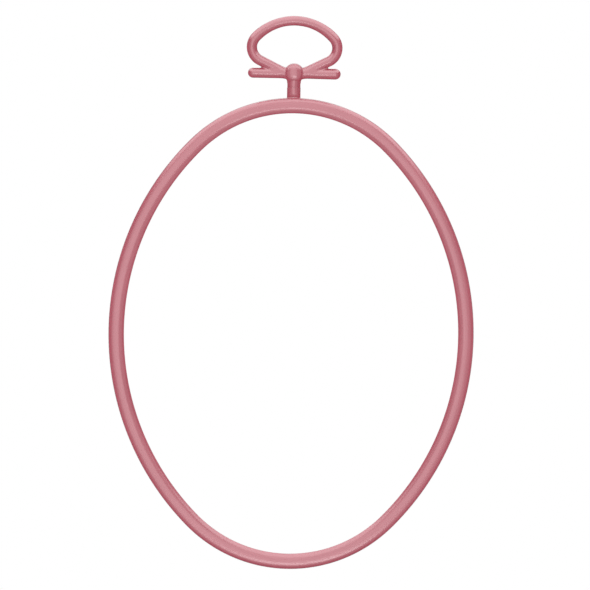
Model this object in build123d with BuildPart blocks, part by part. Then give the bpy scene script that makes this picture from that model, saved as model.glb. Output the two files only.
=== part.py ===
from build123d import *
import math
import os

os.makedirs("parts", exist_ok=True)

# An oval embroidery hoop without a screw, hanging upright as a frame.
# All sizes are millimetres. The origin is the centre of the oval opening, halfway through
# the outer ring's depth. X runs across the hoop, Z runs up and the front faces -Y.

# The oval, measured inside the front face
opening_width = 145.0
opening_height = 191.0

# The soft outer ring
face_width = 6.9
ring_depth = 8.6
outer_wall = 4.0
wall_draft = 0.4
front_lip = 2.6
crest_inset = 3.0
crown_radius = 9.0
inner_shoulder = 3.85
outer_shoulder = 2.1
back_chamfer = 0.6
mouth_chamfer = 0.3

# The stiff inner ring, and the room that the cloth takes between the two rings
inner_band = 2.4
fit_clearance = 0.15
cloth_gap = 0.2
stop_overhang = 1.8
stop_thickness = 1.4
lead_chamfer = 0.5
stop_chamfer = 0.4

# The stub on the outer ring and the socket in it
stub_width = 5.75
stub_height = 4.6
stub_fillet = 0.5
stub_rim = 0.15
socket_width = 3.0
socket_depth = 6.4
groove_drop = 2.6
groove_height = 1.2
groove_depth = 0.4

# The hanger, a single moulding
tube_width = 4.3
loop_width = 41.5
loop_widest_height = 11.0
loop_top_height = 24.85
loop_side_radius = 6.4
leg_drop = 1.9
bar_length = 40.0
boss_width = 8.0
boss_depth = 7.2
boss_dome = 6.8
boss_height = 6.2
neck_width = 5.5
neck_flare = 1.8
web_thickness = 2.6
neck_rim = 0.15

# The hanger's peg, which turns in the socket
joint_gap = 0.1
peg_clearance = 0.05
peg_end_gap = 0.3
peg_chamfer = 0.4
rib_clearance = 0.1

# Each arc of the oval turns through a quarter of a circle
quarter_turn = 90.0
eighth_turn = quarter_turn / 2
half_turn = 2 * quarter_turn

# Levels through the depth, from the front to the back
front_level = -ring_depth / 2
back_level = ring_depth / 2
lip_level = front_level + front_lip
seat_level = lip_level + cloth_gap
stop_level = back_level + cloth_gap
rear_level = stop_level + stop_thickness

# Levels up the hanger
half_width = opening_width / 2
half_height = opening_height / 2
ring_top = half_height + face_width
joint_level = ring_top + stub_height
neck_level = joint_level + joint_gap
boss_level = joint_level + boss_height
groove_top = joint_level - groove_drop
groove_foot = groove_top - groove_height
socket_end = joint_level - socket_depth
socket_radius = socket_width / 2

# An oval of four arcs that meet at 45 degrees, without a kink
centre_offset = (half_height - half_width) / (2 - math.sqrt(2))
side_radius = half_width + centre_offset
end_radius = half_height - centre_offset
oval_arcs = [
    (Vector(0, 0, centre_offset), end_radius, -eighth_turn),
    (Vector(-centre_offset, 0, 0), side_radius, eighth_turn),
    (Vector(0, 0, -centre_offset), end_radius, quarter_turn + eighth_turn),
    (Vector(centre_offset, 0, 0), side_radius, half_turn + eighth_turn),
]


def section_plane(centre, start_angle):
    """A plane through an arc's centre: its x runs outwards, its y runs to the back."""
    outwards = Vector(0, 0, 1).rotate(Axis.Y, start_angle)
    return Plane(origin=centre, x_dir=outwards, z_dir=outwards.cross(Vector(0, 1, 0)))


# Outer ring: soft vinyl, with the stub that carries the hanger. Its face rises from the inner
# edge to a crest, falls gently outwards, and rounds off into a wall that widens to the back.
inner_turn = math.asin(crest_inset / inner_shoulder)
crown_turn = math.asin((face_width - wall_draft - crest_inset) / crown_radius)
with BuildPart() as outer_ring:
    for centre, edge_radius, start_angle in oval_arcs:
        outer_edge = edge_radius + face_width
        rebate_edge = outer_edge - outer_wall
        crest = (edge_radius + crest_inset, front_level)
        with BuildSketch(section_plane(centre, start_angle)) as ring_section:
            with BuildLine():
                inner_arc = CenterArc(
                    (crest[0], front_level + inner_shoulder),
                    inner_shoulder,
                    -quarter_turn,
                    -math.degrees(inner_turn),
                )
                crown_arc = CenterArc(
                    (crest[0], front_level + crown_radius),
                    crown_radius,
                    -quarter_turn,
                    math.degrees(crown_turn),
                )
                Polyline(
                    crown_arc @ 1,
                    (outer_edge, back_level),
                    (rebate_edge, back_level),
                    (rebate_edge, lip_level),
                    (edge_radius, lip_level),
                    inner_arc @ 1,
                )
            make_face()
            fillet(ring_section.vertices().sort_by_distance(crown_arc @ 1)[0], outer_shoulder)
            back_corners = ring_section.vertices().group_by(Axis.Y)[-1].sort_by(Axis.X)
            chamfer(back_corners[0], mouth_chamfer)
            chamfer(back_corners[-1], back_chamfer)
        revolve(axis=Axis(centre, (0, 1, 0)), revolution_arc=quarter_turn)

    with BuildSketch(Plane.XY.offset(joint_level)):
        Circle(stub_width / 2)
    extrude(amount=-(stub_height + outer_wall / 2))
    stub_foot = outer_ring.edges().filter_by(GeomType.BSPLINE)
    fillet(stub_foot, stub_fillet)
    stub_mouth = outer_ring.edges().group_by(Axis.Z)[-1]
    chamfer(stub_mouth, stub_rim)

    # A blind socket with a groove for the peg's rib
    with BuildSketch(Plane.XZ):
        with BuildLine():
            Polyline(
                (0, joint_level),
                (socket_radius, joint_level),
                (socket_radius, groove_top),
                (socket_radius + groove_depth, groove_top - groove_depth),
                (socket_radius + groove_depth, groove_foot + groove_depth),
                (socket_radius, groove_foot),
                (socket_radius, socket_end),
                (0, socket_end),
                close=True,
            )
        make_face()
    revolve(axis=Axis.Z, mode=Mode.SUBTRACT)

# Inner ring: a stiff flat band inside the rebate, with a stop at the back
with BuildPart() as inner_ring:
    for centre, edge_radius, start_angle in oval_arcs:
        rebate_edge = edge_radius + face_width - outer_wall
        band_outside = rebate_edge - fit_clearance
        band_inside = band_outside - inner_band
        stop_edge = rebate_edge + stop_overhang
        with BuildSketch(section_plane(centre, start_angle)) as band_section:
            with BuildLine():
                Polyline(
                    (band_inside, seat_level),
                    (band_outside, seat_level),
                    (band_outside, stop_level),
                    (stop_edge, stop_level),
                    (stop_edge, rear_level),
                    (band_inside, rear_level),
                    close=True,
                )
            make_face()
            chamfer(band_section.vertices().group_by(Axis.Y)[0].sort_by(Axis.X)[-1], lead_chamfer)
            chamfer(band_section.vertices().group_by(Axis.Y)[-1].sort_by(Axis.X)[-1], stop_chamfer)
        revolve(axis=Axis(centre, (0, 1, 0)), revolution_arc=quarter_turn)

# Hanger: loop, legs, cross bar, domed boss, neck and peg in one moulding
tube_radius = tube_width / 2
boss_radius = boss_width / 2
neck_radius = neck_width / 2
peg_radius = socket_radius - peg_clearance

# The loop's middle line: a wide arc on top, a tight arc at each side, and two straight legs
# that touch the side arcs and meet below the middle of the boss
side_x = (loop_width - tube_width) / 2 - loop_side_radius
side_z = boss_level + loop_widest_height
top_z = boss_level + loop_top_height - tube_radius
top_rise = top_z - side_z
top_radius = (side_x**2 + top_rise**2 - loop_side_radius**2) / (2 * (top_rise - loop_side_radius))
top_centre_z = top_z - top_radius
meeting_z = boss_level - leg_drop
side_start = math.atan2(side_z - top_centre_z, side_x)
leg_climb = math.atan2(side_z - meeting_z, side_x)
leg_angle = leg_climb - math.asin(loop_side_radius / math.hypot(side_x, side_z - meeting_z))
side_turn = math.degrees(math.pi / 2 - leg_angle + side_start)
leg_foot = leg_drop * math.sin(leg_angle)
foot_x = leg_foot * math.cos(leg_angle)
foot_z = meeting_z + leg_foot * math.sin(leg_angle)
touch_x = side_x + loop_side_radius * math.sin(leg_angle)
touch_z = side_z - loop_side_radius * math.cos(leg_angle)

with BuildPart() as hanger:
    with BuildLine(Plane.XZ):
        right_leg = Line((foot_x, foot_z), (touch_x, touch_z))
        CenterArc((side_x, side_z), loop_side_radius, math.degrees(leg_angle) - quarter_turn, side_turn)
        CenterArc((0, top_centre_z), top_radius, math.degrees(side_start), half_turn - 2 * math.degrees(side_start))
        CenterArc((-side_x, side_z), loop_side_radius, half_turn - math.degrees(side_start), side_turn)
        Line((-touch_x, touch_z), (-foot_x, foot_z))
    with BuildSketch(Plane(origin=right_leg @ 0, z_dir=right_leg % 0)):
        Circle(tube_radius)
    sweep()

    # The boss is a short round drum with a dome on its front and back
    dome_rise = boss_dome - math.sqrt(boss_dome**2 - boss_radius**2)
    dome_turn = math.degrees(math.asin(boss_radius / boss_dome))
    boss_front = boss_depth / 2
    with BuildSketch(Plane.XY.offset(boss_level)):
        with BuildLine():
            CenterArc((0, boss_front - boss_dome), boss_dome, quarter_turn, -dome_turn)
            Line((boss_radius, boss_front - dome_rise), (boss_radius, dome_rise - boss_front))
            CenterArc((0, boss_dome - boss_front), boss_dome, dome_turn - quarter_turn, -dome_turn)
            Line((0, -boss_front), (0, boss_front))
        make_face()
    revolve(axis=Axis((0, 0, boss_level), (0, 1, 0)))

    with BuildSketch(Plane.XZ):
        with Locations((0, boss_level)):
            SlotOverall(bar_length, tube_width)
            with Locations((0, -tube_radius)):
                Rectangle(bar_length, tube_width, mode=Mode.SUBTRACT)
    revolve(axis=Axis((0, 0, boss_level), (1, 0, 0)))

    # A web under the bar flares down into the neck on both sides
    bar_underside = boss_level - tube_radius
    flare_end = neck_radius + neck_flare
    with BuildSketch(Plane.XZ):
        with BuildLine():
            Line((-flare_end, bar_underside), (-flare_end, boss_level))
            Line((-flare_end, boss_level), (flare_end, boss_level))
            Line((flare_end, boss_level), (flare_end, bar_underside))
            CenterArc((flare_end, bar_underside - neck_flare), neck_flare, quarter_turn, quarter_turn)
            Line((neck_radius, bar_underside - neck_flare), (-neck_radius, bar_underside - neck_flare))
            CenterArc((-flare_end, bar_underside - neck_flare), neck_flare, 0, quarter_turn)
        make_face()
    extrude(amount=web_thickness / 2, both=True)

    # The neck, and the peg with its rib, which the socket holds
    peg_end = socket_end + peg_end_gap
    rib_top = groove_top - rib_clearance
    rib_foot = groove_foot + rib_clearance
    rib_reach = groove_depth - rib_clearance
    with BuildSketch(Plane.XZ):
        with BuildLine():
            Polyline(
                (0, boss_level),
                (0, peg_end),
                (peg_radius - peg_chamfer, peg_end),
                (peg_radius, peg_end + peg_chamfer),
                (peg_radius, rib_foot),
                (peg_radius + rib_reach, rib_foot + rib_reach),
                (peg_radius + rib_reach, rib_top - rib_reach),
                (peg_radius, rib_top),
                (peg_radius, neck_level),
                (neck_radius - neck_rim, neck_level),
                (neck_radius, neck_level + neck_rim),
                (neck_radius, boss_level),
                close=True,
            )
        make_face()
    revolve(axis=Axis.Z)

outer_ring.part.label = "outer_ring"
export_step(outer_ring.part, "parts/outer_ring.step")
inner_ring.part.label = "inner_ring"
export_step(inner_ring.part, "parts/inner_ring.step")
hanger.part.label = "hanger"
export_step(hanger.part, "parts/hanger.step")
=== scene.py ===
import math

import bpy
import numpy as np
from mathutils import Matrix, Vector


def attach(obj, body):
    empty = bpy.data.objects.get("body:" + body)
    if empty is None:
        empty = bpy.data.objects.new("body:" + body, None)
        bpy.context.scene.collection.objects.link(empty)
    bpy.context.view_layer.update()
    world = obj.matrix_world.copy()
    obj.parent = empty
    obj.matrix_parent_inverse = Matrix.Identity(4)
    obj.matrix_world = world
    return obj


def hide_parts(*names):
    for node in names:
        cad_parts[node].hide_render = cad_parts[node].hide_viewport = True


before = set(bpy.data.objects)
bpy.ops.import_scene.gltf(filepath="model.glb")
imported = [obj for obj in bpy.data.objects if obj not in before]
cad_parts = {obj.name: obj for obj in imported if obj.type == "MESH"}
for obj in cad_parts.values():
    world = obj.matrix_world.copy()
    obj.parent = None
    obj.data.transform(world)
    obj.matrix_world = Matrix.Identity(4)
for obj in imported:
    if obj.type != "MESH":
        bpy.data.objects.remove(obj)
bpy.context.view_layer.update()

# Outer ring: the soft half of the hoop, an endless oval of dusty pink vinyl, moulded in one shot
# with the stub that carries the hanger. Its crowned face rounds off into the outer wall, and a
# rebate behind the face grips the inner ring. Sizes are in mm up to the studio, which is in m.
end_radius, side_radius, centre_offset = 56.236, 111.764, 39.264
face_front, ring_back = -4.3, 4.3


def bend(centre, radius, first, last, steps):
    """Points along an arc of a section. An angle of 0 faces the front and 90 faces outwards."""
    turns = np.radians(np.linspace(first, last, steps + 1))
    return [(centre[0] + radius * math.sin(a), centre[1] - radius * math.cos(a)) for a in turns]


def run(start, end, steps):
    """Points along a straight of a section, without its last one."""
    return [tuple(np.add(start, np.subtract(end, start) * k / steps)) for k in range(steps)]


# A point of the section is its distance outwards from the opening's edge, and its depth. First
# come the crown, the outer shoulder and the wall, which widens to the back.
crest, crown_radius = 3.0, 9.0
crown_centre = (crest, face_front + crown_radius)
shoulder_centre, shoulder_radius = (4.476, -2.041), 2.1
shoulder_start, shoulder_end = 12.35, 87.1
wall_front, wall_back = (6.573, -2.147), (6.862, 3.55)
crown = bend(crown_centre, crown_radius, 0, shoulder_start, 4)[:-1]
shoulder = bend(shoulder_centre, shoulder_radius, shoulder_start, shoulder_end, 15)[:-1]
wall = run(wall_front, wall_back, 9)

# The back's outer edge and the rebate's mouth are chamfered, and the rebate ends at the lip that
# covers the inner ring
back_round, back_chamfer_start, back_chamfer_end = 0.4, (6.46, 3.53), 6.19
mouth_round, mouth_chamfer_start, mouth_chamfer_end = 0.15, 3.35, 3.93
rebate_edge, rebate_start, rebate_end = 2.9, 3.8, -1.55
rebate_corner = ((0.0, 0.1), (0.04, 0.02), (0.1, 0.0))
lip_back, lip_start, lip_round = -1.7, 2.6, 0.12
behind = bend(back_chamfer_start, back_round, shoulder_end, 135, 3)
behind += bend((back_chamfer_end, ring_back - back_round), back_round, 135, 180, 3)
behind += bend((mouth_chamfer_start, ring_back - mouth_round), mouth_round, 180, 225, 2)
behind += bend((rebate_edge + mouth_round, mouth_chamfer_end), mouth_round, 225, 270, 2)
behind += run((rebate_edge, rebate_start), (rebate_edge, rebate_end), 6)
behind += [(rebate_edge - inwards, lip_back + up) for inwards, up in rebate_corner]
behind += run((lip_start, lip_back), (lip_round, lip_back), 3)
behind += bend((lip_round, lip_back - lip_round), lip_round, 180, 270, 3)

# At the opening a short wall and a tight corner lead to the inner shoulder, which ends at the crest
inner_wall_start, inner_wall_end = -2.0, -2.62
inner_corner, inner_corner_round, inner_corner_end = (0.32, -2.72), 0.32, -51.2
inner_shoulder_radius, inner_shoulder_start = 3.85, -47.5
inner_shoulder_centre = (crest, face_front + inner_shoulder_radius)
inner_side = run((0.0, inner_wall_start), (0.0, inner_wall_end), 2)
inner_side += bend(inner_corner, inner_corner_round, -90, inner_corner_end, 4)
inner_side += bend(inner_shoulder_centre, inner_shoulder_radius, inner_shoulder_start, 0, 14)[:-1]
ring_section = np.array(crown + shoulder + wall + behind + inner_side)

# The oval's four arcs, clockwise from the upper left joint, with closer rows under the stub
joint_turn, quarter, stub_half_turn = 45.0, 90.0, 4.0
end_rows, stub_rows, side_rows, bottom_rows = 26, 18, 110, 64


def evenly(first, last, rows):
    """Angles clockwise from the top, from first to just before last."""
    return np.linspace(first, last, rows, endpoint=False)


top_turns = np.concatenate([
    evenly(-joint_turn, -stub_half_turn, end_rows),
    evenly(-stub_half_turn, stub_half_turn, stub_rows),
    evenly(stub_half_turn, joint_turn, end_rows),
])
right_turns = evenly(joint_turn, joint_turn + quarter, side_rows)
bottom_turns = evenly(joint_turn + quarter, joint_turn + 2 * quarter, bottom_rows)
left_turns = evenly(joint_turn + 2 * quarter, joint_turn + 3 * quarter, side_rows)
oval_arcs = (
    (0.0, centre_offset, end_radius, top_turns),
    (-centre_offset, 0.0, side_radius, right_turns),
    (0.0, -centre_offset, end_radius, bottom_turns),
    (centre_offset, 0.0, side_radius, left_turns),
)
oval_rows = np.array([(x, z, radius, turn) for x, z, radius, turns in oval_arcs for turn in turns])
millimetre = 0.001


def round_the_oval(section):
    """The section carried round the oval: points by row and column."""
    centre_x, centre_z, radius, turn = [values[:, None] for values in oval_rows.T]
    turn = np.radians(turn)
    reach = radius + section[:, 0]
    x = centre_x + reach * np.sin(turn)
    z = centre_z + reach * np.cos(turn)
    return np.stack([x, np.broadcast_to(section[:, 1], x.shape), z], -1)


def closed_cells(rows, columns, left_out=()):
    """The quads of a grid that closes on itself both ways, without the cells left out."""
    cells = [(i, j) for i in range(rows) for j in range(columns) if (i, j) not in left_out]
    round_a_cell = ((0, 0), (1, 0), (1, 1), (0, 1))
    return [
        tuple((i + down) % rows * columns + (j + along) % columns for down, along in round_a_cell)
        for i, j in cells
    ]


def moulded(name, points, faces, normals=None):
    """A smooth mesh object from points in mm. Points that no face uses are dropped."""
    used = np.unique([k for face in faces for k in face])
    new_number = np.zeros(len(points), int)
    new_number[used] = np.arange(len(used))
    corners = (np.array(points)[used] * millimetre).tolist()
    mesh = bpy.data.meshes.new(name)
    mesh.from_pydata(corners, [], [[int(new_number[k]) for k in face] for face in faces])
    mesh.shade_smooth()
    piece = bpy.data.objects.new(name, mesh)
    bpy.context.scene.collection.objects.link(piece)
    if normals is not None:
        mesh.normals_split_custom_set_from_vertices(np.array(normals)[used].tolist())
    else:
        piece.modifiers.new("even_gloss", "WEIGHTED_NORMAL")
    return piece


ring_points = round_the_oval(ring_section)
ring_rows, ring_columns = ring_points.shape[:2]

# Under the stub a block of cells gives way to rings of points that close in on its foot
block_margin = 2
first_row, last_row = end_rows, end_rows + stub_rows
first_column = len(crown) + block_margin
last_column = len(crown) + len(shoulder) + len(wall)
block = {(i, j) for i in range(first_row, last_row) for j in range(first_column, last_column)}
rim =[(i, first_column) for i in range(first_row, last_row)]
rim += [(last_row, j) for j in range(first_column, last_column)]
rim += [(i, last_column) for i in range(last_row, first_row, -1)]
rim += [(first_row, j) for j in range(last_column, first_column, -1)]
edge = np.array([ring_points[i, j] for i, j in rim])
around = np.arctan2(edge[:, 1], edge[:, 0])
way = np.stack([np.cos(around), np.sin(around)], 1)

# The stub is filleted onto the ring's outside, and narrows towards its foot when it is seen from
# the side. The outside is followed in fine steps, so that the foot lies on it.
stub_radius, stub_fillet = 2.92, 0.45
stub_top, stub_rim = 106.72, 0.08
waist, waist_foot, waist_top = 0.72, 102.5, 104.5
outside = bend(crown_centre, crown_radius, 0, shoulder_start, 30)
outside += bend(shoulder_centre, shoulder_radius, shoulder_start, shoulder_end, 90)
outside = np.array(outside + [wall_back])


def ring_height(x, y):
    """Height of the ring's outside at the top of the oval, over a point of its depth."""
    reach = end_radius + np.interp(y, outside[:, 1], outside[:, 0])
    return centre_offset + np.sqrt(reach**2 - x**2)


def height_round_foot(reach):
    """Height of the ring's outside all round the stub's foot, reach away from its middle."""
    return ring_height(reach * way[:, 0], reach * waist * way[:, 1])


def at_height(reach, height):
    """Points of the stub's outside, which is drawn in from front and back towards its foot."""
    grown = np.sin(math.pi / 2 * np.clip((height - waist_foot) / (waist_top - waist_foot), 0, 1))
    depth = way[:, 1] * (waist + (1 - waist) * grown)
    return np.column_stack([reach * way[:, 0], reach * depth, height * np.ones(len(way))])


foot, small_step = stub_radius + stub_fillet, 0.05
foot_height = height_round_foot(foot)
slope = (height_round_foot(foot + small_step) - foot_height) / small_step
steep = np.sqrt(1 + slope**2)
touch = foot + stub_fillet * slope / steep
fillet_height = foot_height + stub_fillet * steep
fillet_from = np.arctan2(-1 / steep, slope / steep)

# Its rings of points close in over the ring's skin, turn up round the fillet and climb the stub
skin_shares = (0.35, 0.65, 0.85, 1.0)
fillet_shares = (0.2, 0.4, 0.6, 0.8, 1.0)
climb_shares = (0.05, 0.1, 0.16, 0.22, 0.28, 0.35, 0.43, 0.55, 0.75, 0.95)
stub_rings = []
for share in skin_shares:
    flat = edge[:, :2] * (1 - share) + touch[:, None] * way * (1, waist) * share
    stub_rings.append(np.column_stack([flat, ring_height(flat[:, 0], flat[:, 1])]))
for share in fillet_shares:
    angle = fillet_from + (-math.pi - fillet_from) * share
    reach = foot + stub_fillet * np.cos(angle)
    height = fillet_height + stub_fillet * np.sin(angle)
    stub_rings.append(np.column_stack([reach[:, None] * way * (1, waist), height]))
for share in climb_shares:
    height = fillet_height + (stub_top - stub_rim - fillet_height) * share
    stub_rings.append(at_height(stub_radius, height))

# Then they go over the rim, across the flat top and down the blind socket for the hanger's peg,
# which has a groove for the peg's rib. Each is given by its reach and height.
rim_round = ((0.0, stub_rim), (0.015, 0.035), (0.04, 0.01), (stub_rim, 0.0))
flat_reaches, floor_reach = (2.4, 1.8), 0.6
mouth_edge = ((0.08, 0.0), (0.02, 0.03), (0.0, 0.1))
socket_radius, socket_end, socket_corner = 1.5, 100.6, 0.1
groove_top, groove_foot, groove_depth = 104.4, 103.2, 0.4
socket_line = [(stub_radius - inwards, stub_top - down) for inwards, down in rim_round]
socket_line += [(reach, stub_top) for reach in flat_reaches]
socket_line += [(socket_radius + outwards, stub_top - down) for outwards, down in mouth_edge]
socket_line += [
    (socket_radius, groove_top),
    (socket_radius + groove_depth, groove_top - groove_depth),
    (socket_radius + groove_depth, groove_foot + groove_depth),
    (socket_radius, groove_foot),
    (socket_radius, socket_end + socket_corner),
    (socket_radius - socket_corner, socket_end),
    (floor_reach, socket_end),
]
for reach, height in socket_line:
    stub_rings.append(np.column_stack([reach * way, np.full(len(way), height)]))

outer_points = np.concatenate([ring_points.reshape(-1, 3)] + stub_rings)
ring_faces = closed_cells(ring_rows, ring_columns, block)
lower = [i * ring_columns + j for i, j in rim]
for k in range(len(stub_rings)):
    upper = [ring_rows * ring_columns + k * len(rim) + n for n in range(len(rim))]
    ring_faces += [(lower[n - 1], lower[n], upper[n], upper[n - 1]) for n in range(len(rim))]
    lower = upper
ring_faces.append(lower)
outer_ring = moulded("outer_ring_vinyl", outer_points, ring_faces)


class Socket:
    """A socket of a material's nodes. Plain sums with it become Math nodes."""

    def __init__(self, tree, end=None):
        self.tree, self.end = tree, end

    def node(self, kind, settings=None, values=None, output=0):
        """A new node of a kind: its settings are set first, then its sockets' values or links."""
        made = self.tree.nodes.new("ShaderNode" + kind)
        for name, value in (settings or {}).items():
            setattr(made, name, value)
        for name, value in (values or {}).items():
            if isinstance(value, Socket):
                self.tree.links.new(value.end, made.inputs[name])
            else:
                made.inputs[name].default_value = value
        return Socket(self.tree, made.outputs[output] if len(made.outputs) else None)

    def maths(self, operation, *numbers):
        return self.node("Math", {"operation": operation}, dict(enumerate(numbers)))

    def __add__(self, other):
        return self.maths("ADD", self, other)

    def __radd__(self, other):
        return self.maths("ADD", other, self)

    def __sub__(self, other):
        return self.maths("SUBTRACT", self, other)

    def __rsub__(self, other):
        return self.maths("SUBTRACT", other, self)

    def __mul__(self, other):
        return self.maths("MULTIPLY", self, other)

    def __rmul__(self, other):
        return self.maths("MULTIPLY", other, self)

    def __gt__(self, other):
        return self.maths("GREATER_THAN", self, other)

    def size(self):
        return self.maths("ABSOLUTE", self)

    def with_side(self, other):
        """The long side of a right triangle on self and other."""
        return self.maths("SQRT", self * self + other * other)

    def vector(self, operation, *others, **values):
        """Vector Math on self and other vectors."""
        values.update(enumerate((self, *others)))
        return self.node("VectorMath", {"operation": operation}, values)

    def noise(self, scale, detail, rough=0.5):
        """A soft random pattern round 0.5 on the place that self gives."""
        values = {"Vector": self, "Scale": scale, "Detail": detail, "Roughness": rough}
        return self.node("TexNoise", None, values)

    def between(self, low, high):
        """0 at low and below, 1 at high and above, with a soft change between."""
        values = {"Value": self, "From Min": low, "From Max": high}
        return self.node("MapRange", {"interpolation_type": "SMOOTHSTEP"}, values)

    def tint(self, first, second):
        """A colour that goes from first to second over the middle of self's range."""
        values = {"Factor": self.between(0.35, 0.65), 6: first, 7: second}
        return self.node("Mix", {"data_type": "RGBA"}, values, output=2)


def new_material(name):
    """An empty material, and a socket that adds nodes to it."""
    material = bpy.data.materials.new(name)
    material.use_nodes = True
    material.node_tree.nodes.clear()
    return material, Socket(material.node_tree)


def on_the_piece(start):
    """The place on the piece in mm."""
    return start.node("TexCoord", None, None, "Object").vector("SCALE", Scale=1 / millimetre)


def finished(start, colour, roughness, height, depth, **plain):
    """The shader of a moulded plastic: varying colour, roughness and relief, the rest plain."""
    relief = {"Height": height, "Strength": 1.0, "Distance": depth * millimetre}
    relief = start.node("Bump", None, relief)
    values = {"Base Color": colour, "Roughness": roughness, "Normal": relief}
    values.update({name.replace("_", " "): value for name, value in plain.items()})
    shader = start.node("BsdfPrincipled", None, values)
    start.node("OutputMaterial", None, {"Surface": shader})


def along_the_oval(place, streak_length, streak_width):
    """A place on a ring, drawn out along the oval, so that a noise on it runs in streaks."""
    mean_radius = 84.0
    x, y, z = [place.node("SeparateXYZ", None, {"Vector": place}, axis) for axis in "XYZ"]
    at_end = z.size() - x.size() > centre_offset
    end = x.with_side(z.size() - centre_offset) - end_radius
    side = (x.size() + centre_offset).with_side(z) - side_radius
    outwards = side + (end - side) * at_end
    round_way = place.node("CombineXYZ", None, {"X": x, "Y": 0.0, "Z": z})
    round_way = round_way.vector("NORMALIZE").vector("SCALE", Scale=mean_radius / streak_length)
    across = place.node("CombineXYZ", None, {"Y": (outwards + y) * (1.0 / streak_width)})
    return round_way.vector("ADD", across)


# Soft vinyl: a satin skin with faint flow streaks along the oval, cloudy pink and a few scuffs
vinyl_pink, vinyl_pale = (0.452, 0.089, 0.125, 1.0), (0.480, 0.099, 0.136, 1.0)
vinyl_roughness, vinyl_relief = 0.27, 0.0022
vinyl, start = new_material("soft_vinyl")
place = on_the_piece(start)
flow = along_the_oval(place, streak_length=24.0, streak_width=0.9)
flow = flow.noise(scale=1.0, detail=3.0, rough=0.55)
cloud = place.noise(scale=0.035, detail=2.0)
grain = place.noise(scale=4.5, detail=2.0, rough=0.6)
scuff = place.noise(scale=0.55, detail=4.0, rough=0.7).between(0.66, 0.74)
colour = (0.55 * flow + 0.45 * cloud).tint(vinyl_pink, vinyl_pale)
roughness = vinyl_roughness + 0.08 * (flow - 0.5) + 0.04 * scuff + 0.02 * (grain - 0.5)
height = flow + 0.06 * grain - 0.15 * scuff
finished(start, colour, roughness, height, vinyl_relief, IOR=1.7, Specular_IOR_Level=0.9)
outer_ring.data.materials.append(vinyl)
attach(outer_ring, "outer_ring")
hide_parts("outer_ring")


# Inner ring: the stiff half of the hoop, a flat band of hard plastic that sits in the rebate, so
# that the stretched cloth is gripped between the two. It is moulded with a stop at its back that
# reaches over the outer ring.
band_inside, band_outside, stop_edge = 0.35, 2.75, 4.7
band_front, stop_front, stop_back = -1.5, 4.5, 5.9
front_round, inside_round = 0.25, 0.3
lead_round, lead_start, lead_end = 0.15, 2.2, -0.95
stop_root = ((0.0, 0.15), (0.03, 0.04), (0.11, 0.0))
stop_round, stop_chamfer_round, stop_chamfer_start, stop_chamfer_end = 0.15, 0.28, 5.42, 4.24

# On each flat the points begin and end a little inside the rounds, which keeps its gloss flat
front_corner = (band_inside + front_round, band_front + front_round)
band_section = bend(front_corner, front_round, -90, 0, 4)
band_section += run((0.9, band_front), (2.1, band_front), 2)
band_section += bend((lead_start, band_front + lead_round), lead_round, 0, 45, 2)
band_section += bend((band_outside - lead_round, lead_end), lead_round, 45, 90, 2)
band_section += run((band_outside, -0.8), (band_outside, 4.3), 6)
band_section += [(band_outside + out, stop_front - forwards) for out, forwards in stop_root]
band_section += run((3.1, stop_front), (4.5, stop_front), 3)
band_section += bend((stop_edge - stop_round, stop_front + stop_round), stop_round, 0, 90, 4)
band_section += run((stop_edge, 4.8), (stop_edge, 5.3), 2)
stop_corner = (stop_edge - stop_chamfer_round, stop_chamfer_start)
band_section += bend(stop_corner, stop_chamfer_round, 90, 135, 3)
stop_corner = (stop_chamfer_end, stop_back - stop_chamfer_round)
band_section += bend(stop_corner, stop_chamfer_round, 135, 180, 3)
band_section += run((4.0, stop_back), (0.9, stop_back), 5)
back_corner = (band_inside + inside_round, stop_back - inside_round)
band_section += bend(back_corner, inside_round, 180, 270, 4)
band_section += run((band_inside, 5.2), (band_inside, -1.0), 6) + [(band_inside, -1.15)]
band_points = round_the_oval(np.array(band_section))
band_faces = closed_cells(*band_points.shape[:2])
inner_ring = moulded("inner_ring_plastic", band_points.reshape(-1, 3), band_faces)

# Hard plastic: duller and a shade paler than the vinyl, with long fine streaks
stiff_pink, stiff_pale = (0.455, 0.112, 0.148, 1.0), (0.490, 0.130, 0.168, 1.0)
stiff_roughness, stiff_relief = 0.42, 0.015
stiff_plastic, start = new_material("stiff_plastic")
place = on_the_piece(start)
flow = along_the_oval(place, streak_length=40.0, streak_width=0.5)
flow = flow.noise(scale=1.0, detail=4.0, rough=0.6)
cloud = place.noise(scale=0.04, detail=2.0)
grain = place.noise(scale=3.0, detail=3.0, rough=0.65)
colour = (0.4 * flow + 0.6 * cloud).tint(stiff_pink, stiff_pale)
roughness = stiff_roughness + 0.12 * (flow - 0.5) + 0.08 * (grain - 0.5)
finished(start, colour, roughness, flow + 0.4 * grain, stiff_relief, Specular_IOR_Level=0.6)
inner_ring.data.materials.append(stiff_plastic)
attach(inner_ring, "inner_ring")
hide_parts("inner_ring")


# Hanger: one small moulding of harder, glossier plastic, with a wide loop on two legs, a cross
# bar, a domed boss where they meet, a flared web, and a ribbed peg that is pressed into the
# ring's stub. It was plugged in slightly askew, and so it leans a little to the right.
boss_height, boss_radius, boss_round = 113.1, 4.15, 1.5
dome_radius, dome_sink = 8.0, 4.4
bar_half, bar_radius, bar_swell = 17.85, 2.19, 0.15
bar_swell_start, bar_swell_length = 5, 12
bar_drop, bar_rise, bar_rise_length = -0.24, 0.02, 16
web_reach, web_foot, web_hollow = 5.04, 108.8, 2.2
web_half, web_round = 1.3, 0.5
neck_radius, neck_end = 2.84, 106.745
neck_flat, flat_start, flat_length = 0.028, 107, 3
bar_crease, boss_crease, web_crease, neck_crease = 1.0, 0.3, 0.5, 0.2

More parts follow.
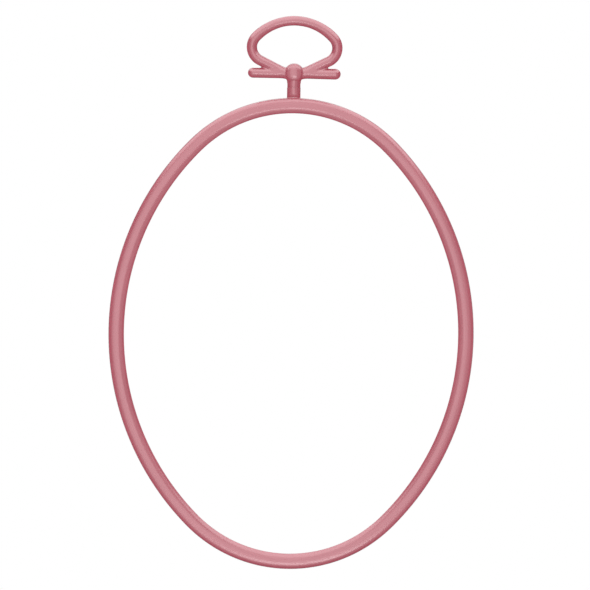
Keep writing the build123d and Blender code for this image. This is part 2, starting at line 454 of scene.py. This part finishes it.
# The loop is a round rod, thickest at its sides, bent along tangent arcs: two legs that meet
# under the boss, a tight bend at each side, and the wide one over the top
rod_radius, rod_swell, swell_start, swell_length = 2.09, 0.15, 6, 10
thin_top, thin_length = 138, 6
side_x, side_z, side_bend = 12.15, 124.1, 6.4
top_height, top_bend = 135.74, 23.09
top_centre = top_height - top_bend
leg_drop, leg_start = 1.9, 0.8
leg_meeting = boss_height - leg_drop
leg_reach = math.hypot(side_x, side_z - leg_meeting)
leg_angle = math.atan2(side_z - leg_meeting, side_x) - math.asin(side_bend / leg_reach)
leg_length = math.sqrt(leg_reach**2 - side_bend**2)
side_turn = math.atan2(side_z - top_centre, side_x)
far_off = 99.0


def soft_or(first, second, blend):
    """Two shapes as one, with a rounded crease between them."""
    share = np.clip(0.5 + 0.5 * (second - first) / blend, 0, 1)
    return second + (first - second) * share - blend * share * (1 - share)


def soft_and(first, second, blend):
    """What two shapes share, with a rounded edge."""
    return -soft_or(-first, -second, blend)


def hanger_gap(x, y, z):
    """Distance from the hanger's skin, less than zero inside it."""
    across = np.abs(x)
    # The loop, by the distance from its middle line
    leg_x, leg_z = math.cos(leg_angle), math.sin(leg_angle)
    along = np.clip(across * leg_x + (z - leg_meeting) * leg_z, leg_start, leg_length)
    leg = np.hypot(across - along * leg_x, z - leg_meeting - along * leg_z)
    from_side = np.arctan2(z - side_z, across - side_x)
    in_side = (from_side > leg_angle - math.pi / 2) & (from_side < side_turn)
    side = np.where(in_side, np.abs(np.hypot(across - side_x, z - side_z) - side_bend), far_off)
    in_top = np.arctan2(z - top_centre, across) >= side_turn
    top = np.where(in_top, np.abs(np.hypot(across, z - top_centre) - top_bend), far_off)
    swell = np.clip((across - swell_start) / swell_length, 0, 1)
    thinned = np.clip((thin_top - z) / thin_length, 0, 1)
    rod = rod_radius + rod_swell * swell * thinned
    loop = np.hypot(np.minimum(np.minimum(leg, side), top), y) - rod
    # The cross bar, which sags and is a little thicker to the right
    thick = bar_radius + bar_swell * np.clip((x - bar_swell_start) / bar_swell_length, 0, 1)
    droop = bar_drop + bar_rise * np.clip(x / bar_rise_length, 0, 1)
    over = across - np.minimum(across, bar_half)
    bar = np.sqrt(over**2 + y**2 + (z - boss_height - droop) ** 2) - thick
    # The boss, a drum with a shallow dome on both faces
    away = np.hypot(x, z - boss_height)
    dome = np.hypot(away, np.abs(y) + dome_sink) - dome_radius
    boss = soft_and(dome, away - boss_radius, boss_round)
    # The web, which flares from the neck out to the bar, and the neck
    hollow = web_hollow - np.hypot(across - web_reach, z - web_foot)
    web = np.maximum.reduce([across - web_reach, hollow, web_foot - z, z - boss_height])
    web = soft_and(web, np.abs(y) - web_half, web_round)
    flatter = 1 - neck_flat * np.clip(z - flat_start, 0, flat_length)
    neck = np.maximum(np.hypot(x, y / flatter) - neck_radius, z - boss_height)
    shape = soft_or(soft_or(loop, bar, bar_crease), boss, boss_crease)
    return soft_or(shape, soft_or(neck, web, web_crease), neck_crease)


def field_slope(field, at, step=0.02):
    """How fast the distance grows along x, y and z."""
    shifts = np.eye(3) * step
    return np.stack([field(*(at + s).T) - field(*(at - s).T) for s in shifts], -1) / (2 * step)


def onto_skin(field, at, times):
    """Points moved along the slope of the field until they lie on its skin."""
    gentlest = 0.1
    for _ in range(times):
        grow = field_slope(field, at)
        at = at - (field(*at.T) / np.maximum((grow**2).sum(-1), gentlest))[:, None] * grow
    return at


def skinned(field, low, high, step):
    """Quads over the skin of a distance field: a point in each cell that the skin passes through,
    and a face round each grid edge that it crosses."""
    grid = [np.arange(a, b + step, step) for a, b in zip(low, high)]
    inside = field(*np.meshgrid(*grid, indexing="ij")) < 0
    # A cell is crossed by the skin when some of its eight corners are inside and some are not
    count = 0
    for a, b, c in np.ndindex(2, 2, 2):
        count = count + inside[a : a - 1 or None, b : b - 1 or None, c : c - 1 or None].astype(int)
    crossed = (count > 0) & (count < 8)
    number = np.full(crossed.shape, -1)
    number[crossed] = np.arange(crossed.sum())
    at = np.array(low) + (np.argwhere(crossed) + 0.5) * step
    faces = []
    for axis in range(3):
        u, v = np.eye(3, dtype=int)[[(axis + 1) % 3, (axis + 2) % 3]]
        first = np.take(inside, range(inside.shape[axis] - 1), axis)
        second = np.take(inside, range(1, inside.shape[axis]), axis)
        edges = np.argwhere(first != second)
        edges = edges[((edges - u - v) >= 0).all(1) & (edges < crossed.shape).all(1)]
        quad = np.stack([number[tuple((edges - s).T)] for s in (0 * u, u, u + v, v)], 1)
        leaving = first[tuple(edges.T)]
        faces.append(np.where(leaving[:, None], quad, quad[:, ::-1]))
    return at, np.concatenate(faces)


# The skin from a little above the neck's end, evened out by pulling each point halfway to its
# neighbours' middle and back onto the skin, while its open rim stays fixed
skin_step, end_left_off, smoothings = 0.24, 0.5, 4
skin_low, skin_high = (-21.6, -4.2, neck_end + end_left_off), (21.6, 4.2, 139.2)
skin, skin_faces = skinned(hanger_gap, skin_low, skin_high, skin_step)
skin = onto_skin(hanger_gap, skin, times=5)
links = np.concatenate([skin_faces[:, [k, (k + 1) % 4]] for k in range(4)])
ordered, uses = np.unique(np.sort(links, 1), axis=0, return_counts=True)
rim_points = np.unique(ordered[uses == 1])
links = np.concatenate([ordered, ordered[:, ::-1]])
fixed = np.zeros(len(skin), bool)
fixed[rim_points] = True
neighbours = np.maximum(np.bincount(links[:, 0], minlength=len(skin)), 1)[:, None]
for _ in range(smoothings):
    near = [np.bincount(links[:, 0], skin[links[:, 1], k], len(skin)) for k in range(3)]
    near = np.stack(near, -1) / neighbours
    pulled = onto_skin(hanger_gap, 0.5 * (skin + near), times=2)
    skin = np.where(fixed[:, None], skin, pulled)
skin_normals = field_slope(hanger_gap, skin)
skin_normals /= np.linalg.norm(skin_normals, axis=1)[:, None]

# The neck's square end and the peg with its rib go on from the skin's open rim. Each row of the
# list is a ring of points: reach, height and how many degrees its normal is turned down.
peg_radius, root_step = 1.45, 0.1
peg_end, peg_corner = 100.9, 0.4
neck_flat_reach, peg_flat_reach = 2.2, 0.5
rib_top, rib_foot, rib_reach, rib_slant = 104.3, 103.3, 0.3, 20
neck_edge = ((0.0, 0.1, 0), (0.015, 0.045, 25), (0.04, 0.015, 65), (0.08, 0.0, 88))
peg = [(neck_radius - inwards, neck_end + up, turned) for inwards, up, turned in neck_edge]
peg += [
    (neck_flat_reach, neck_end, 90),
    (peg_radius + root_step, neck_end, 90),
    (peg_radius, neck_end - root_step, 10),
    (peg_radius, rib_top, -rib_slant),
    (peg_radius + rib_reach, rib_top - rib_reach, -rib_slant),
    (peg_radius + rib_reach, rib_foot + rib_reach, rib_slant),
    (peg_radius, rib_foot, rib_slant),
    (peg_radius, peg_end + peg_corner, rib_slant),
    (peg_radius - peg_corner, peg_end, 70),
    (peg_flat_reach, peg_end, 90),
]
rim_points = rim_points[np.argsort(np.arctan2(skin[rim_points, 1], skin[rim_points, 0]))]
bearing = np.arctan2(skin[rim_points, 1], skin[rim_points, 0])
bearing_x, bearing_y = np.cos(bearing), np.sin(bearing)
skin[rim_points, 0], skin[rim_points, 1] = neck_radius * bearing_x, neck_radius * bearing_y
lower = list(rim_points)
peg_points, peg_normals, peg_faces = [], [], []
for k, (reach, height, turned) in enumerate(peg):
    level = np.full(len(bearing), height)
    peg_points.append(np.column_stack([reach * bearing_x, reach * bearing_y, level]))
    out, down = math.cos(math.radians(turned)), math.sin(math.radians(turned))
    drop = np.full(len(bearing), -down)
    peg_normals.append(np.column_stack([out * bearing_x, out * bearing_y, drop]))
    upper = [len(skin) + k * len(bearing) + n for n in range(len(bearing))]
    peg_faces += [(lower[n - 1], upper[n - 1], upper[n], lower[n]) for n in range(len(bearing))]
    lower = upper
peg_faces.append(lower[::-1])
hanger_points = np.concatenate([skin] + peg_points)
hanger_normals = np.concatenate([skin_normals] + peg_normals)

# It leans about the middle of its peg, by less than the peg's play in the socket
lean, peg_middle = math.radians(0.45), np.array([0, 0, 104.0])
lean_x, lean_z = math.cos(lean), math.sin(lean)
turn = np.array([[lean_x, 0, -lean_z], [0, 1, 0], [lean_z, 0, lean_x]])
hanger_points = (hanger_points - peg_middle) @ turn + peg_middle
hanger_normals = hanger_normals @ turn
hanger_faces = skin_faces.tolist() + peg_faces
hanger = moulded("hanger_moulding", hanger_points, hanger_faces, hanger_normals)

# Glossy plastic: clouds drawn out along the bar, fine grain and a few nicks
gloss_pink, gloss_pale = (0.440, 0.084, 0.119, 1.0), (0.464, 0.091, 0.128, 1.0)
gloss_roughness, gloss_relief = 0.235, 0.0012
drawn_out = (0.12, 1.0, 0.35)
gloss_plastic, start = new_material("gloss_plastic")
place = on_the_piece(start)
cloud = place.noise(scale=0.16, detail=3.0, rough=0.55)
flow = place.vector("MULTIPLY", drawn_out).noise(scale=1.1, detail=2.0)
grain = place.noise(scale=5.0, detail=2.0, rough=0.6)
nick = place.noise(scale=0.9, detail=3.0, rough=0.7).between(0.68, 0.75)
colour = (0.5 * cloud + 0.5 * flow).tint(gloss_pink, gloss_pale)
roughness = gloss_roughness + 0.05 * (flow - 0.5) + 0.08 * nick + 0.04 * (grain - 0.5)
height = flow + 0.08 * grain - 0.2 * nick
finished(start, colour, roughness, height, gloss_relief, IOR=1.7, Specular_IOR_Level=0.9)
hanger.data.materials.append(gloss_plastic)
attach(hanger, "hanger")
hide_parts("hanger")


# Studio: a white room with a pale paper floor below the hanging hoop. Three weak lamps light its
# colour, and five sheets of light and the dark cards are seen only in its gloss. Sizes are in m.
def staged(name, corners, faces, material):
    """A flat stand-in of the studio, which isn't part of the hoop."""
    mesh = bpy.data.meshes.new(name)
    mesh.from_pydata(corners, [], faces)
    mesh.materials.append(material)
    flat = bpy.data.objects.new(name, mesh)
    bpy.context.scene.collection.objects.link(flat)
    return flat


# The paper looks brighter to the camera than the light on it makes it
white = (1.0, 1.0, 1.0, 1.0)
paper_white, paper_glow = (0.86, 0.86, 0.86, 1.0), 0.35
paper, start = new_material("floor_paper")
seen = start.node("LightPath", None, None, "Is Camera Ray")
matt = start.node("BsdfDiffuse", None, {"Color": paper_white})
glow = start.node("Emission", None, {"Color": white, "Strength": seen * paper_glow})
start.node("OutputMaterial", None, {"Surface": start.node("AddShader", None, {0: matt, 1: glow})})

floor_level, floor_half, floor_front = -0.50, 1.6, -0.5
floor_corners = [
    (-floor_half, floor_front, floor_level),
    (floor_half, floor_front, floor_level),
    (floor_half, floor_half, floor_level),
    (-floor_half, floor_half, floor_level),
]
floor = staged("floor", floor_corners, [(0, 1, 2, 3)], paper)
floor.visible_glossy = False

# Dark cards at both sides and below keep the hoop's edges crisp on white
card_grey = (0.02, 0.02, 0.02, 1.0)
card_black, start = new_material("card_black")
matt = start.node("BsdfDiffuse", None, {"Color": card_grey})
start.node("OutputMaterial", None, {"Surface": matt})
card_half, card_top, card_back = 0.45, 0.37, 1.2
card_front_high, card_front_low = -0.31, -0.14
card_edge = (
    (-card_half, card_front_high, card_top),
    (-card_half, card_front_low, -card_half),
    (card_half, card_front_low, -card_half),
    (card_half, card_front_high, card_top),
)
card_corners = [(x, y, z) for x, front, z in card_edge for y in (front, card_back)]
card_faces = [(0, 1, 3, 2), (2, 3, 5, 4), (4, 5, 7, 6)]
cards = staged("dark_cards", card_corners, card_faces, card_black)
cards.visible_camera = cards.visible_diffuse = False
cards.visible_shadow = cards.visible_transmission = False

# The room is half as bright in the gloss as it looks
gloss_loss = 0.5
world = bpy.data.worlds.new("white_room")
bpy.context.scene.world = world
world.use_nodes = True
world.node_tree.nodes.clear()
room = Socket(world.node_tree)
mirrored = room.node("LightPath", None, None, "Is Glossy Ray")
room_light = {"Color": white, "Strength": 1.0 - gloss_loss * mirrored}
room.node("OutputWorld", None, {"Surface": room.node("Background", None, room_light)})


def lamp(name, place, aim, size, power, gloss=True):
    """A soft rectangular lamp, size wide and high, that faces aim: a sheet seen only in the
    gloss, or else one that only lights the colour."""
    light = bpy.data.lights.new(name, "AREA")
    light.shape, light.size, light.size_y = "RECTANGLE", size[0], size[1]
    light.energy = power
    holder = bpy.data.objects.new(name, light)
    holder.location = place
    holder.rotation_euler = (Vector(aim) - Vector(place)).to_track_quat("-Z", "Y").to_euler()
    holder.visible_camera = False
    holder.visible_diffuse, holder.visible_glossy = not gloss, gloss
    bpy.context.scene.collection.objects.link(holder)


middle = (0.0, 0.0, 0.0)
lamp("overhead_fill", (0.0, -0.3, 1.1), middle, size=(1.2, 1.2), power=0.4, gloss=False)
lamp("left_fill", (-1.2, 0.2, 0.0), middle, size=(0.6, 1.6), power=3.4, gloss=False)
lamp("right_fill", (1.2, 0.2, 0.0), middle, size=(0.6, 1.6), power=3.4, gloss=False)
lamp("overhead_sheet", (0.0, -0.35, 1.05), (0.0, -0.35, 0.0), size=(3.0, 2.2), power=36.0)
lamp("back_sheet", (0.0, 1.2, 0.85), middle, size=(1.0, 0.8), power=2.4)
lamp("front_sheet", (-0.12, -1.7, 0.20), (0.0, 0.0, 0.2), size=(1.3, 2.0), power=8.2)
lamp("low_sheet", (0.02, -1.05, -0.66), middle, size=(0.7, 0.4), power=0.72)
lamp("line_sheet", (0.15, -2.8, -1.14), middle, size=(1.2, 0.34), power=3.9)


# Camera: a long lens straight in front of the hoop, held a touch crooked. It aims between the
# hoop's top and bottom, and its picture is frame_width wide where the hoop hangs.
distance, frame_width, sensor_width = 3.2, 0.2561, 36.0
aim_right, aim_up = 0.001723, 0.01669
roll = math.radians(0.65)
right = Vector((math.cos(roll), 0, math.sin(roll)))
up = Vector((-math.sin(roll), 0, math.cos(roll)))
to_camera = Vector((0, -1, 0))
stand = aim_right * right + aim_up * up + distance * to_camera
camera_data = bpy.data.cameras.new("camera")
camera_data.sensor_width = sensor_width
camera_data.lens = sensor_width * distance / frame_width
camera_data.clip_start, camera_data.clip_end = 0.1, 20.0
camera = bpy.data.objects.new("camera", camera_data)
bpy.context.scene.collection.objects.link(camera)
facing = Matrix((right, up, to_camera)).transposed().to_4x4()
camera.matrix_world = Matrix.Translation(stand) @ facing
bpy.context.scene.camera = camera
bpy.context.scene.view_settings.view_transform = "Standard"
